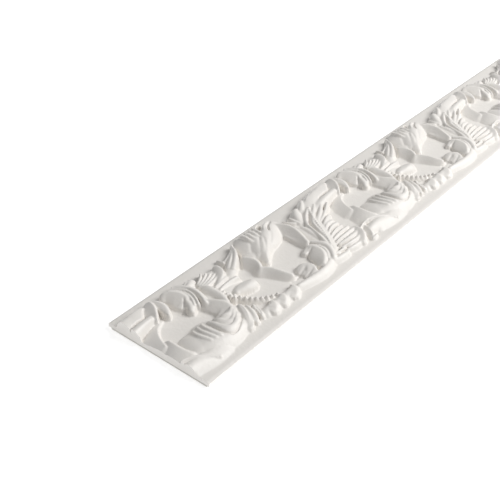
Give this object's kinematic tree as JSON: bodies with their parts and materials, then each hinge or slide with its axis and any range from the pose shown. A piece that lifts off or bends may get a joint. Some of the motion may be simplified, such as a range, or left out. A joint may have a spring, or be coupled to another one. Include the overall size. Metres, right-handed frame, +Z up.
{
  "type": "self-adhesive relief moulding",
  "caption": "Flexible strip moulding with a running acanthus scroll in low relief between two plain borders, square-cut ends and a self-adhesive back.",
  "frame": {"origin": "middle of the underside, on the lower face of the release liner", "axes": "+X along the strip, +Y across it from the border nearest the camera to the far one, +Z up out of the relief"},
  "size_m": [0.552, 0.08, 0.0118],
  "materials": {
    "cast_moulding": "satin, as cast",
    "foam_tape": "matt foam with a tacky face",
    "liner_film": "smooth, silicone coated"
  },
  "bodies": {
    "root": {"moulding": "cast_moulding", "adhesive_tape": "foam_tape", "release_liner": "liner_film"}
  },
  "joints": []
}
